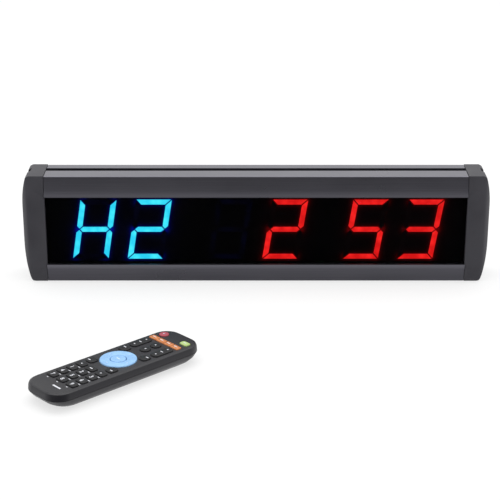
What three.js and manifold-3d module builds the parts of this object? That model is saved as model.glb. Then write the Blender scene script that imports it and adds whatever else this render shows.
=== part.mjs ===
// A gym round timer: a long wall or table display with six seven-segment digits, and its handset.
// Millimetres, +Z up, +Y towards the back. The origin is the centre of the display's underside.

import * as THREE from "three";
import { mergeVertices } from "three/addons/utils/BufferGeometryUtils.js";
import Module from "manifold-3d";

const wasm = await Module();
wasm.setup();

// ---------------------------------------------------------------- driving dimensions: display case
const HALF_WIDTH = 210.2;
const RAIL_TOP = 100;
const HALF_DEPTH = 21;
const CAP_PROUD = 0.4; // the end caps stand this far proud of the rails on the top, front and back
const FIT_GAP = 0.3;
const WALL = 1.8;
const OVERSHOOT = 1; // a cutting solid runs this far past the surface that it cuts
const FAR_PAST = 10; // the same, where the cut goes right round a part

const WINDOW_HALF_WIDTH = 189;
const WINDOW_HALF_HEIGHT = 31.8;
const MID_HEIGHT = RAIL_TOP / 2;

// The bezel steps back twice from the edge of the window.
const LIP_FACE = 0.6;
const INNER_RISE = 6.2;
const INNER_LEAN = 2.8;
const OUTER_LEAN = 2.6;
const EDGE_ROUND = 0.7;
const CAP_INNER_WIDTH = 11.5;
const SEAM_X = 190; // above and below the window, the rails reach this far into the caps

// The end cap's side bulges: straight over the middle, then curving in towards the top and bottom.
const CAP_TAPER_TOP = 4.4;
const CAP_TAPER_FOOT = 6.4;
const CAP_STRAIGHT_ABOVE = 22; // how far the straight part reaches above the case's mid-height
const CAP_STRAIGHT_BELOW = 12;
const CAP_CURVE_STEPS = 7;
const CAP_FOOT_ROUND = 2.6;
const CAP_TOP_CHAMFER = { across: 2.2, down: 1.4 };
const CAP_FACE_FALL = 3.6; // the cap's face rounds off to its side, and ends this much further back
const CAP_FACE_STEPS = 6;
const CAP_CAVITY_REACH = 204;
const CAP_SCREW_BLOCK = 4; // solid plastic below the cap screw's channel

// T-slot along each rail, for hangers and for the cap screws.
const SLOT_Y = 6.4;
const SLOT_HALF = 3.7;
const SLOT_LIP = 2.2;
const CHANNEL_HALF = 6.5;
const CHANNEL_HEIGHT = 4.8;
const CHANNEL_WALL = 1.6;
const CHANNEL_MID_Z = RAIL_TOP - SLOT_LIP - CHANNEL_HEIGHT / 2;

const WINDOW_THICK = 3;
const WINDOW_FRONT_Y = -17.9;
const WINDOW_BITE = 2.4; // how far the window's edge sits inside its groove
const GROOVE_PLAY = 0.2;
const SHELF_RISE = 1; // the rail's shelf over the window's groove, above the inner facet

const BOARD_THICK = 1.6;
const BOARD_FRONT_Y = -6.1;
const BOARD_HALF_HEIGHT = 39.5;
const BOARD_RIB = 1.4;
const BOARD_BITE = 3; // how far the ribs hold the board's edge

const COVER_THICK = 2.4;
const COVER_HALF_HEIGHT = 37.5;
const COVER_BACK_Y = 18.9;
const COVER_BITE = 3.5; // how far the rail's flanges hold the cover's edge
const VENT_COUNT = 12;
const VENT_PITCH = 7;
const VENT = { width: 2.4, height: 16, middleZ: 66 };
const SOUND_SLOT = { count: 4, pitch: 3.6, width: 1.6, height: 10, middleX: -140, middleZ: 40 };

// ---------------------------------------------------------------- driving dimensions: digits
const DIGIT_HEIGHT = 57;
const DIGIT_WIDTH = 32.5; // over the outer edges, before the slant
const STROKE = 5;
const SEGMENT_GAP = 1.1;
const SLANT = THREE.MathUtils.degToRad(9);
const DIGIT_PITCH = 49.6;
const MODULE_PITCH = 122.4;
const MIDDLE_MODULE_X = 1.5;
const MODULE = { halfWidth: 48, halfHeight: 31.4, face: 1.6, wall: 1.5 };
const MODULE_FRONT_Y = -14.6;
const LENS_PLATE = { halfWidth: 21.2, halfHeight: 29.4, thick: 1 };
const LENS_PLAY = 0.1; // a bar of the lens is this much smaller all round than its outline
const LENS_HOLE_PLAY = 0.15; // and its hole in the module this much larger

// ---------------------------------------------------------------- driving dimensions: small parts
const CAP_SCREW = {
  headRadius: 3.3,
  headHeight: 2.4,
  headSlope: 0.9,
  shankRadius: 2.2,
  tipRadius: 1.6,
  tipLength: 2,
  length: 18,
  seatGap: 0.1,
  seatX: 198.5,
};
const CROSS_RECESS = { reach: 2.2, halfWidth: 0.5, depth: 1 };
const SCREW_POCKET_RADIUS = 3.7;
const NOTCH = { startX: 203.3, frontY: 0.7, backY: 9.1 };
const SOCKET = { x: 150, z: 30, boreRadius: 3.2, pinRadius: 1, bodyRadius: 4, flangeRadius: 6.2 };
const SOCKET_DEPTHS = { inside: -11, boreFloor: -9, flangeFoot: 0.2, pinTip: 0.4, flangeTop: 1.6 };
const BUZZER = { radius: 6, height: 9.5, portRadius: 1.2, portDepth: 2, x: -140, z: 40 };
const RECEIVER = { x: 62.7, z: 50, frontY: -12, backY: -9, halfWidth: 3.5, halfHeight: 4 };
const RECEIVER_LENS_RADIUS = 2.4;
const LEG = { half: 0.3, pitch: 2.54, aboveFoot: 0.8, bite: 1 };

// ---------------------------------------------------------------- driving dimensions: handset
// In the handset's own frame, +X runs to its top end and +Y to its left side.
const HANDSET = { x: -111, y: -222.5, turn: THREE.MathUtils.degToRad(42.7) };
const HANDSET_HALF_LENGTH = 73.2;
const HANDSET_HALF_WIDTH = 22.3;
const HANDSET_CORNER = 14;
const SPLIT_Z = 9.6;
const DECK_TOP = 15.8;
const DECK_THICK = 1.1;
const SHELL_WALL = 1.6;

// Rings of the shells' surfaces, each drawn in from the plan outline and further in at the ends.
const REAR_OUTSIDE = [
  { z: 0, inset: 9, endInset: 20 },
  { z: 1.1, inset: 6.2, endInset: 13.5 },
  { z: 3, inset: 3.4, endInset: 7.6 },
  { z: 5.8, inset: 1.2, endInset: 3 },
  { z: SPLIT_Z, inset: 0 },
];
const REAR_INSIDE = [
  { z: SHELL_WALL, inset: 9.4, endInset: 19.4 },
  { z: 3.5, inset: 5.4, endInset: 10.6 },
  { z: 6.2, inset: 2.9, endInset: 4.8 },
  { z: SPLIT_Z + OVERSHOOT, inset: SHELL_WALL },
];
const FRONT_OUTSIDE = [
  { z: SPLIT_Z + FIT_GAP, inset: 0 },
  { z: 13.4, inset: 0.2 },
  { z: 15, inset: 0.9 },
  { z: DECK_TOP, inset: 2.2 },
];
const FRONT_INSIDE = [
  { z: SPLIT_Z - OVERSHOOT, inset: SHELL_WALL },
  { z: 13.2, inset: SHELL_WALL + 0.2 },
  { z: DECK_TOP - DECK_THICK, inset: SHELL_WALL + 1.2 },
];

const KEY_TOP = 16.9;
const KEY_FOOT_Z = 14;
const KEY_FLANGE = { thick: 0.45, reach: 0.6 };
const KEY_PLAY = 0.3;
const KEY_ROUND = 1.6;
const KEYPAD_BOARD = { bottom: 12.35, thick: 0.95, inset: 3 };
const BATTERY = { radius: 5.1, length: 44, apart: 5.5, middleX: -33.6, z: 7.05 };
const BATTERY_NUB = { radius: 1.8, height: 1 };
const BATTERY_COVER = { halfWidth: 11.6, frontX: -10, belowSplit: 1.8, play: 0.3, lift: 0.2 };
const EMITTER = { radius: 1.4, startX: 63.5, length: 4.6, z: 10.6 };
const IR_WINDOW = { halfWidth: 9, startX: 64.5, top: 13.2 };

const RING = { x: 3.5, outer: 14.8, inner: 6.7, outerFall: 0.5, outerBevel: 1, innerBevel: 0.3 };
const OK_RADIUS = 6.2;
const NUMBER_KEY = { length: 6.4, width: 9.6 };
const NUMBER_ROWS = 4;
const NUMBER_FIRST_X = -22.8;
const NUMBER_ROW_PITCH = 9.1;
const COLUMN_PITCH = 12.3;
const ORANGE_KEY = { x: 51, length: 5.2, width: 8.45, round: 0.8, pitch: 8.8, count: 4 };
const ORANGE_FLANGE_WIDTH = 6.45;
const ORANGE_SLOT_ROUND = 1;
const ROCKER_KEY = { x: 36.5, y: 13.4, length: 19.5, width: 8.2, round: 3, flangeLength: 8 };
const CORNER_KEY = { alongX: 16.2, acrossY: 12.5, side: 8.4, round: 2.4, ringClearance: 1.4 };
const PAGE_KEY = { upX: 41.3, downX: 30.6, radius: 4.4 };
const POWER_KEY = { x: 60.5, y: 12.8, radius: 4.1 };
const GREEN_KEY = { x: 60.8, y: -13, length: 5.6, width: 8.6 };

const CORNER_SEGMENTS = 2; // doubled on each corner arc of a key or a hole
const PLAN_SEGMENTS = 4; // doubled on each corner arc of the handset's outline
const ROUND_SIDES = 18;
const RING_SIDES = 32;

// ---------------------------------------------------------------- materials
function finish(color, roughness, metalness) {
  return new THREE.MeshStandardMaterial({ color, roughness, metalness });
}
const ANODISED = finish(0x45454b, 0.45, 0.8);
const CAP_PLASTIC = finish(0x47464c, 0.6, 0);
const SMOKED = finish(0x08080c, 0.08, 0);
const COVER_BLACK = finish(0x26262a, 0.55, 0.2);
const BOARD_GREEN = finish(0x1f5c38, 0.5, 0);
const MODULE_BLACK = finish(0x101014, 0.5, 0);
const BLUE_LENS = finish(0x28d8ff, 0.4, 0);
const RED_LENS = finish(0xf0191e, 0.4, 0);
const STEEL_BLACK = finish(0x2c2c2e, 0.35, 0.9);
const PART_BLACK = finish(0x161618, 0.4, 0);
const HANDSET_BLACK = finish(0x34353a, 0.6, 0);
const GLOSS_BLACK = finish(0x0a0a0c, 0.1, 0);
const KEY_BLACK = finish(0x1c1c20, 0.7, 0);
const KEY_RED = finish(0xb5283e, 0.6, 0);
const KEY_GREEN = finish(0x86bf4c, 0.6, 0);
const KEY_ORANGE = finish(0xe07a35, 0.6, 0);
const KEY_BLUE = finish(0x8bb8e8, 0.6, 0);
const CELL_WRAP = finish(0x3f6f4a, 0.4, 0.3);
const LED_CLEAR = finish(0xb9c4d8, 0.15, 0);

// ---------------------------------------------------------------- solids
function solid(geometry) {
  const bare = geometry.clone();
  bare.deleteAttribute("normal");
  bare.deleteAttribute("uv");
  const merged = mergeVertices(bare, 1e-4);
  return new wasm.Manifold(
    new wasm.Mesh({
      numProp: 3,
      vertProperties: merged.attributes.position.array,
      triVerts: new Uint32Array(merged.index.array),
    }),
  );
}

function addMesh(parent, name, body, material) {
  const { vertProperties, triVerts } = body.getMesh();
  const geometry = new THREE.BufferGeometry();
  geometry.setAttribute("position", new THREE.BufferAttribute(vertProperties, 3));
  geometry.setIndex(new THREE.BufferAttribute(triVerts, 1));
  const flat = geometry.toNonIndexed();
  flat.computeVertexNormals();
  const mesh = new THREE.Mesh(flat, material);
  mesh.name = name;
  parent.add(mesh);
}

function box(x0, x1, y0, y1, z0, z1) {
  const geometry = new THREE.BoxGeometry(x1 - x0, y1 - y0, z1 - z0);
  geometry.translate((x0 + x1) / 2, (y0 + y1) / 2, (z0 + z1) / 2);
  return solid(geometry);
}

function extrusion(shape, depth) {
  return new THREE.ExtrudeGeometry(shape, {
    depth,
    bevelEnabled: false,
    curveSegments: CORNER_SEGMENTS,
  });
}

const AXIS_X = new THREE.Vector3(1, 0, 0);
const AXIS_Y = new THREE.Vector3(0, 1, 0);
const AXIS_Z = new THREE.Vector3(0, 0, 1);

// An outline in the YZ plane, drawn out along X.
function prismAlongX(shape, x0, x1) {
  const geometry = extrusion(shape, x1 - x0);
  geometry.applyMatrix4(new THREE.Matrix4().makeBasis(AXIS_Y, AXIS_Z, AXIS_X));
  geometry.translate(x0, 0, 0);
  return solid(geometry);
}

// An outline in the XZ plane, drawn out along Y.
function prismAlongY(shape, y0, y1) {
  const geometry = extrusion(shape, y1 - y0);
  const back = AXIS_Y.clone().negate();
  geometry.applyMatrix4(new THREE.Matrix4().makeBasis(AXIS_X, AXIS_Z, back));
  geometry.translate(0, y1, 0);
  return solid(geometry);
}

function prismAlongZ(shape, z0, z1) {
  const geometry = extrusion(shape, z1 - z0);
  geometry.translate(0, 0, z0);
  return solid(geometry);
}

function polygon(points) {
  return new THREE.Shape(points.map(([a, b]) => new THREE.Vector2(a, b)));
}

// A turned solid: the profile is [radius, height] pairs from the axis round to the axis.
function turned(profile, sides = ROUND_SIDES) {
  const geometry = new THREE.LatheGeometry(
    profile.map(([radius, height]) => new THREE.Vector2(radius, height)),
    sides,
  );
  return solid(geometry);
}

function disc(radius, bottom, top, sides) {
  return turned([[0, bottom], [radius, bottom], [radius, top], [0, top]], sides);
}

// Stands a turned solid, made round Y, along the direction given and puts its base at a point.
function stand(body, direction, x, y, z) {
  const turn = new THREE.Quaternion().setFromUnitVectors(AXIS_Y, direction);
  const place = new THREE.Matrix4().makeRotationFromQuaternion(turn).setPosition(x, y, z);
  return body.transform(place.toArray());
}

function mirrored(body, normal) {
  return body.mirror(normal);
}

function roundedRectangle(length, width, radius) {
  const a = length / 2;
  const b = width / 2;
  const r = Math.min(radius, a, b);
  const shape = new THREE.Shape();
  shape.moveTo(a, -b + r);
  shape.lineTo(a, b - r);
  shape.absarc(a - r, b - r, r, 0, Math.PI / 2);
  shape.lineTo(-a + r, b);
  shape.absarc(-a + r, b - r, r, Math.PI / 2, Math.PI);
  shape.lineTo(-a, -b + r);
  shape.absarc(-a + r, -b + r, r, Math.PI, Math.PI * 1.5);
  shape.lineTo(a - r, -b);
  shape.absarc(a - r, -b + r, r, Math.PI * 1.5, Math.PI * 2);
  return shape;
}

// ---------------------------------------------------------------- rails
// The front of the bezel, from the window's edge up to the top of the case.
function bezelFront(frontY, topZ) {
  const edge = MID_HEIGHT + WINDOW_HALF_HEIGHT;
  const outerY = frontY + INNER_LEAN + OUTER_LEAN;
  return [
    [frontY, edge],
    [frontY, edge + LIP_FACE],
    [frontY + INNER_LEAN, edge + INNER_RISE],
    [outerY, topZ - EDGE_ROUND],
    [outerY + EDGE_ROUND, topZ],
  ];
}

function railSolid() {
  const frontY = -HALF_DEPTH + CAP_PROUD;
  const backY = HALF_DEPTH - CAP_PROUD;
  const roof = RAIL_TOP - WALL;
  const windowBackY = WINDOW_FRONT_Y + WINDOW_THICK + GROOVE_PLAY;
  const grooveTop = MID_HEIGHT + WINDOW_HALF_HEIGHT + WINDOW_BITE + 2 * GROOVE_PLAY;
  const edge = MID_HEIGHT + WINDOW_HALF_HEIGHT;
  const shelf = edge + INNER_RISE + SHELF_RISE;
  const channelTop = RAIL_TOP - SLOT_LIP;
  const channelFloor = channelTop - CHANNEL_HEIGHT;
  const boardBackY = BOARD_FRONT_Y + BOARD_THICK;
  const ribFoot = MID_HEIGHT + BOARD_HALF_HEIGHT - BOARD_BITE;
  const coverFrontY = COVER_BACK_Y - COVER_THICK;
  const flangeFoot = MID_HEIGHT + COVER_HALF_HEIGHT - COVER_BITE;
  const front = bezelFront(frontY, RAIL_TOP);
  const rib = (nearY, farY) => [
    [farY, roof],
    [farY, ribFoot],
    [nearY, ribFoot],
    [nearY, roof],
  ];
  const outline = [
    ...front,
    [SLOT_Y - SLOT_HALF, RAIL_TOP],
    [SLOT_Y - SLOT_HALF, channelTop],
    [SLOT_Y - CHANNEL_HALF, channelTop],
    [SLOT_Y - CHANNEL_HALF, channelFloor],
    [SLOT_Y + CHANNEL_HALF, channelFloor],
    [SLOT_Y + CHANNEL_HALF, channelTop],
    [SLOT_Y + SLOT_HALF, channelTop],
    [SLOT_Y + SLOT_HALF, RAIL_TOP],
    [backY, RAIL_TOP],
    [backY, flangeFoot],
    [COVER_BACK_Y + GROOVE_PLAY, flangeFoot],
    [COVER_BACK_Y + GROOVE_PLAY, roof],
    [coverFrontY - GROOVE_PLAY, roof],
    [coverFrontY - GROOVE_PLAY, flangeFoot],
    [coverFrontY - GROOVE_PLAY - CHANNEL_WALL, flangeFoot],
    [coverFrontY - GROOVE_PLAY - CHANNEL_WALL, channelFloor - CHANNEL_WALL],
    [SLOT_Y - CHANNEL_HALF - CHANNEL_WALL, channelFloor - CHANNEL_WALL],
    [SLOT_Y - CHANNEL_HALF - CHANNEL_WALL, roof],
    ...rib(boardBackY + GROOVE_PLAY, boardBackY + GROOVE_PLAY + BOARD_RIB),
    ...rib(BOARD_FRONT_Y - GROOVE_PLAY - BOARD_RIB, BOARD_FRONT_Y - GROOVE_PLAY),
    [frontY + INNER_LEAN + OUTER_LEAN + WALL, roof],
    [frontY + INNER_LEAN + WALL, shelf],
    [windowBackY + CHANNEL_WALL, shelf],
    [windowBackY + CHANNEL_WALL, edge + LIP_FACE],
    [windowBackY, edge + LIP_FACE],
    [windowBackY, grooveTop],
    [WINDOW_FRONT_Y - GROOVE_PLAY, grooveTop],
    [WINDOW_FRONT_Y - GROOVE_PLAY, edge],
  ];
  const halfLength = SEAM_X - FIT_GAP;
  return prismAlongX(polygon(outline), -halfLength, halfLength);
}

// The same solid on the other side of the case's mid-height.
function upsideDown(body) {
  return mirrored(body, [0, 0, 1]).translate([0, 0, RAIL_TOP]);
}

// ---------------------------------------------------------------- end caps
function capSideX(z) {
  const isAbove = z > MID_HEIGHT;
  const straight = isAbove ? CAP_STRAIGHT_ABOVE : CAP_STRAIGHT_BELOW;
  const taper = isAbove ? CAP_TAPER_TOP : CAP_TAPER_FOOT;
  const away = Math.max(0, Math.abs(z - MID_HEIGHT) - straight);
  return HALF_WIDTH - taper * (away / (MID_HEIGHT - straight)) ** 2;
}

function capOutline() {
  const top = RAIL_TOP + CAP_PROUD;
  const shape = new THREE.Shape();
  shape.moveTo(WINDOW_HALF_WIDTH, 0);
  shape.lineTo(capSideX(0) - CAP_FOOT_ROUND, 0);
  shape.quadraticCurveTo(capSideX(0), 0, capSideX(CAP_FOOT_ROUND), CAP_FOOT_ROUND);
  const straightFoot = MID_HEIGHT - CAP_STRAIGHT_BELOW;
  for (let i = 1; i <= CAP_CURVE_STEPS; i += 1) {
    const z = CAP_FOOT_ROUND + ((straightFoot - CAP_FOOT_ROUND) * i) / CAP_CURVE_STEPS;
    shape.lineTo(capSideX(z), z);
  }
  const straightTop = MID_HEIGHT + CAP_STRAIGHT_ABOVE;
  for (let i = 0; i <= CAP_CURVE_STEPS; i += 1) {
    const z = straightTop + ((top - CAP_TOP_CHAMFER.down - straightTop) * i) / CAP_CURVE_STEPS;
    shape.lineTo(capSideX(z), z);
  }
  shape.lineTo(capSideX(top) - CAP_TOP_CHAMFER.across, top);
  shape.lineTo(WINDOW_HALF_WIDTH, top);
  return shape;
}

// What lies in front of the bezel, drawn out past the whole cap, to be cut away.
function inFrontOfBezel(topZ) {
  const front = bezelFront(-HALF_DEPTH, topZ);
  const [outerY] = front[front.length - 1];
  const outline = [
    [-HALF_DEPTH - FAR_PAST, front[0][1]],
    ...front,
    [outerY, topZ + FAR_PAST],
    [-HALF_DEPTH - FAR_PAST, topZ + FAR_PAST],
  ].reverse();
  return prismAlongX(polygon(outline), WINDOW_HALF_WIDTH - FAR_PAST, HALF_WIDTH + FAR_PAST);
}

// The cap's face beside the window, from the fold out to its side, as points in X and Y.
function capFace() {
  const foldX = WINDOW_HALF_WIDTH + CAP_INNER_WIDTH;
  const points = [];
  for (let i = 0; i <= CAP_FACE_STEPS; i += 1) {
    const share = i / CAP_FACE_STEPS;
    const fall = INNER_LEAN + OUTER_LEAN * share + CAP_FACE_FALL * share ** 4;
    points.push([foldX + (HALF_WIDTH - foldX) * share, -HALF_DEPTH + fall]);
  }
  return points;
}

function inFrontOfCapSide() {
  const pastX = HALF_WIDTH + FAR_PAST;
  const outline = [
    [WINDOW_HALF_WIDTH + LIP_FACE, -HALF_DEPTH],
    ...capFace(),
    [pastX, -HALF_DEPTH + FAR_PAST],
    [pastX, -HALF_DEPTH - FAR_PAST],
    [WINDOW_HALF_WIDTH - FAR_PAST, -HALF_DEPTH - FAR_PAST],
    [WINDOW_HALF_WIDTH - FAR_PAST, -HALF_DEPTH],
  ];
  return prismAlongZ(polygon(outline), -FAR_PAST, RAIL_TOP + FAR_PAST);
}

// Where the rail's end reaches past the window's edge: down to its front lip, and to its back flange.
function railEndSpace() {
  const fromX = WINDOW_HALF_WIDTH - OVERSHOOT;
  const frontY = -HALF_DEPTH - OVERSHOOT;
  const backY = HALF_DEPTH + OVERSHOOT;
  const stepY = WINDOW_FRONT_Y + WINDOW_THICK + GROOVE_PLAY + CHANNEL_WALL + FIT_GAP;
  const lipFoot = MID_HEIGHT + WINDOW_HALF_HEIGHT - FIT_GAP;
  const flangeFoot = MID_HEIGHT + COVER_HALF_HEIGHT - COVER_BITE - FIT_GAP;
  const pastTop = RAIL_TOP + FAR_PAST;
  const atFront = box(fromX, SEAM_X, frontY, stepY, lipFoot, pastTop);
  const atBack = box(fromX, SEAM_X, frontY, backY, flangeFoot, pastTop);
  return atFront.add(atBack);
}

function screwPocket() {
  const { seatX, shankRadius } = CAP_SCREW;
  const seat = disc(SCREW_POCKET_RADIUS, 0, HALF_WIDTH + FAR_PAST - seatX);
  const hole = disc(shankRadius + FIT_GAP, 0, HALF_WIDTH - WINDOW_HALF_WIDTH);
  const { startX, frontY, backY } = NOTCH;
  const pastX = HALF_WIDTH + FAR_PAST;
  const notch = box(startX, pastX, frontY, backY, CHANNEL_MID_Z, RAIL_TOP + FAR_PAST);
  return stand(seat, AXIS_X, seatX, SLOT_Y, CHANNEL_MID_Z)
    .add(stand(hole, AXIS_X, WINDOW_HALF_WIDTH - OVERSHOOT, SLOT_Y, CHANNEL_MID_Z))
    .add(notch);
}

function endCap() {
  const blockHeight = RAIL_TOP - CHANNEL_MID_Z + CHANNEL_HEIGHT / 2 + CAP_SCREW_BLOCK;
  const windowEdge = WINDOW_HALF_HEIGHT + WINDOW_BITE + 2 * GROOVE_PLAY;
  const windowBackY = WINDOW_FRONT_Y + WINDOW_THICK + GROOVE_PLAY;
  const innerX = WINDOW_HALF_WIDTH - OVERSHOOT;
  const cavity = box(
    innerX,
    CAP_CAVITY_REACH,
    windowBackY + WALL,
    COVER_BACK_Y,
    blockHeight,
    RAIL_TOP - blockHeight,
  );
  const windowGroove = box(
    innerX,
    WINDOW_HALF_WIDTH + WINDOW_BITE + GROOVE_PLAY,
    WINDOW_FRONT_Y - GROOVE_PLAY,
    windowBackY,
    MID_HEIGHT - windowEdge,
    MID_HEIGHT + windowEdge,
  );
  return prismAlongY(capOutline(), -HALF_DEPTH, HALF_DEPTH)
    .subtract(inFrontOfBezel(RAIL_TOP + CAP_PROUD))
    .subtract(upsideDown(inFrontOfBezel(RAIL_TOP)))
    .subtract(inFrontOfCapSide())
    .subtract(cavity)
    .subtract(windowGroove)
    .subtract(railEndSpace())
    .subtract(upsideDown(railEndSpace()))
    .subtract(screwPocket())
    .subtract(upsideDown(screwPocket()));
}

function capScrew() {
  const { headRadius, headHeight, headSlope, shankRadius, length, seatGap, seatX } = CAP_SCREW;
  const { reach, halfWidth, depth } = CROSS_RECESS;
  const body = turned([
    [0, -length],
    [CAP_SCREW.tipRadius, -length],
    [shankRadius, -length + CAP_SCREW.tipLength],
    [shankRadius, seatGap],
    [headRadius, seatGap],
    [headRadius, headHeight - headSlope],
    [headRadius - headSlope, headHeight],
    [0, headHeight],
  ]);
  const recessFloor = headHeight - depth;
  const recessTop = headHeight + depth;
  const blade = box(-reach, reach, recessFloor, recessTop, -halfWidth, halfWidth);
  const cross = blade.add(blade.rotate([0, 90, 0]));
  return stand(body.subtract(cross), AXIS_X, seatX, SLOT_Y, CHANNEL_MID_Z);
}

// ---------------------------------------------------------------- display insides
// One bar of a digit along +X, pointed at both ends, about its own middle.
function barOutline(length) {
  const half = length / 2 - SEGMENT_GAP / 2;
  const t = STROKE / 2;
  return [[-half, 0], [-half + t, -t], [half - t, -t], [half, 0], [half - t, t], [-half + t, t]];
}

// An outer bar is cut square to the digit's corner, so its outer edge runs the full length.
function edgeBarOutline(length, outerSide) {
  const half = length / 2 - SEGMENT_GAP / 2;
  const t = STROKE / 2;
  const outline = [[-half - t, t], [-half + t, -t], [half - t, -t], [half + t, t]];
  return outline.map(([a, b]) => [a, b * outerSide]);
}

// A side bar runs from the pointed middle of the digit to a corner.
function sideBarOutline(length, outerSide) {
  const half = length / 2 - SEGMENT_GAP / 2;
  const t = STROKE / 2;
  const outline = [[-half, 0], [-half + t, -t], [half - t, -t], [half + t, t], [-half + t, t]];
  return outline.map(([a, b]) => [a, b * outerSide]);
}

// The seven bars of an upright digit about its middle, as outlines in X and Z.
function digitOutlines() {
  const halfX = (DIGIT_WIDTH - STROKE) / 2;
  const halfZ = (DIGIT_HEIGHT - STROKE) / 2;
  const across = halfX * 2;
  const outlines = [
    barOutline(across),
    edgeBarOutline(across, 1).map(([a, b]) => [a, b + halfZ]),
    edgeBarOutline(across, -1).map(([a, b]) => [a, b - halfZ]),
  ];
  for (const sideX of [-1, 1]) {
    for (const sideZ of [-1, 1]) {
      const bar = sideBarOutline(halfZ, sideX);
      outlines.push(bar.map(([a, b]) => [sideX * halfX + b, sideZ * (halfZ / 2 + a)]));
    }
  }
  return outlines.map((outline) => outline.map(([a, b]) => [a + b * Math.tan(SLANT), b]));
}

function anticlockwise(outline) {
  const area = THREE.ShapeUtils.area(outline.map(([a, b]) => new THREE.Vector2(a, b)));
  return area < 0 ? [...outline].reverse() : outline;
}

// Makes an outline larger or smaller about its own middle by the same distance on every side.
function grown(outline, by) {
  const count = outline.length;
  return outline.map(([a, b], i) => {
    const [pa, pb] = outline[(i + count - 1) % count];
    const [na, nb] = outline[(i + 1) % count];
    const before = new THREE.Vector2(b - pb, -(a - pa)).normalize();
    const after = new THREE.Vector2(nb - b, -(na - a)).normalize();
    const mitre = before.clone().add(after).normalize();
    const reach = by / mitre.dot(after);
    return [a + mitre.x * reach, b + mitre.y * reach];
  });
}

function digitBars(middleX, frontY, backY, extra) {
  return digitOutlines().map((outline) => {
    const placed = grown(anticlockwise(outline), extra);
    const shape = polygon(placed.map(([a, b]) => [a + middleX, b + MID_HEIGHT]));
    return prismAlongY(shape, frontY, backY);
  });
}

function moduleSolid(middleX) {
  const { halfWidth, halfHeight, face, wall } = MODULE;
  const backY = BOARD_FRONT_Y - FIT_GAP;
  let body = box(
    middleX - halfWidth,
    middleX + halfWidth,
    MODULE_FRONT_Y,
    backY,
    MID_HEIGHT - halfHeight,
    MID_HEIGHT + halfHeight,
  );
  body = body.subtract(
    box(
      middleX - halfWidth + wall,
      middleX + halfWidth - wall,
      MODULE_FRONT_Y + face,
      backY + OVERSHOOT,
      MID_HEIGHT - halfHeight + wall,
      MID_HEIGHT + halfHeight - wall,
    ),
  );
  for (const side of [-0.5, 0.5]) {
    const digitX = middleX + side * DIGIT_PITCH;
    const holeBackY = MODULE_FRONT_Y + face + OVERSHOOT;
    for (const bar of digitBars(digitX, MODULE_FRONT_Y - OVERSHOOT, holeBackY, LENS_HOLE_PLAY)) {
      body = body.subtract(bar);
    }
  }
  return body;
}

function lensSolid(middleX) {
  const { halfWidth, halfHeight, thick } = LENS_PLATE;
  const plateFrontY = MODULE_FRONT_Y + MODULE.face + FIT_GAP;
  let body = box(
    middleX - halfWidth,
    middleX + halfWidth,
    plateFrontY,
    plateFrontY + thick,
    MID_HEIGHT - halfHeight,
    MID_HEIGHT + halfHeight,
  );
  for (const bar of digitBars(middleX, MODULE_FRONT_Y, plateFrontY + thick / 2, -LENS_PLAY)) {
    body = body.add(bar);
  }
  return body;
}

function windowSolid() {
  const halfX = WINDOW_HALF_WIDTH + WINDOW_BITE;
  const halfZ = WINDOW_HALF_HEIGHT + WINDOW_BITE;
  return box(
    -halfX,
    halfX,
    WINDOW_FRONT_Y,
    WINDOW_FRONT_Y + WINDOW_THICK,
    MID_HEIGHT - halfZ,
    MID_HEIGHT + halfZ,
  );
}

function boardSolid() {
  const halfLength = WINDOW_HALF_WIDTH - 2;
  return box(
    -halfLength,
    halfLength,
    BOARD_FRONT_Y,
    BOARD_FRONT_Y + BOARD_THICK,
    MID_HEIGHT - BOARD_HALF_HEIGHT,
    MID_HEIGHT + BOARD_HALF_HEIGHT,
  );
}

// A row of upright slots right through the back cover.
function slotRow(count, pitch, width, height, middleX, middleZ) {
  const slots = [];
  for (let i = 0; i < count; i += 1) {
    const x = middleX + (i - (count - 1) / 2) * pitch;
    slots.push(
      box(
        x - width / 2,
        x + width / 2,
        COVER_BACK_Y - 2 * COVER_THICK,
        COVER_BACK_Y + COVER_THICK,
        middleZ - height / 2,
        middleZ + height / 2,
      ),
    );
  }
  return slots;
}

function backCover() {
  const halfLength = WINDOW_HALF_WIDTH - 2 * FIT_GAP;
  const frontY = COVER_BACK_Y - COVER_THICK;
  let body = box(
    -halfLength,
    halfLength,
    frontY,
    COVER_BACK_Y,
    MID_HEIGHT - COVER_HALF_HEIGHT,
    MID_HEIGHT + COVER_HALF_HEIGHT,
  );
  const { count, pitch, width, height, middleX, middleZ } = SOUND_SLOT;
  const slots = [
    ...slotRow(VENT_COUNT, VENT_PITCH, VENT.width, VENT.height, 0, VENT.middleZ),
    ...slotRow(count, pitch, width, height, middleX, middleZ),
  ];
  for (const slot of slots) {
    body = body.subtract(slot);
  }
  const socketHole = disc(SOCKET.bodyRadius + FIT_GAP, 0, 3 * COVER_THICK);
  return body.subtract(stand(socketHole, AXIS_Y, SOCKET.x, frontY - COVER_THICK, SOCKET.z));
}

// The socket's bore opens to the back, with the centre pin standing in it.
function powerSocket() {
  const { boreRadius, pinRadius, bodyRadius, flangeRadius, x, z } = SOCKET;
  const { inside, flangeFoot, flangeTop, boreFloor, pinTip } = SOCKET_DEPTHS;
  const body = turned([
    [0, inside],
    [bodyRadius, inside],
    [bodyRadius, flangeFoot],
    [flangeRadius, flangeFoot],
    [flangeRadius, flangeTop],
    [boreRadius, flangeTop],
    [boreRadius, boreFloor],
    [pinRadius, boreFloor],
    [pinRadius, pinTip],
    [0, pinTip],
  ]);
  return stand(body, AXIS_Y, x, COVER_BACK_Y, z);
}

function buzzerSolid() {
  const { radius, height, portRadius, portDepth, x, z } = BUZZER;
  const body = turned([
    [0, 0],
    [radius, 0],
    [radius, height],
    [portRadius, height],
    [portRadius, height - portDepth],
    [0, height - portDepth],
  ]);
  return stand(body, AXIS_Y, x, BOARD_FRONT_Y + BOARD_THICK + FIT_GAP, z);
}

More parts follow.
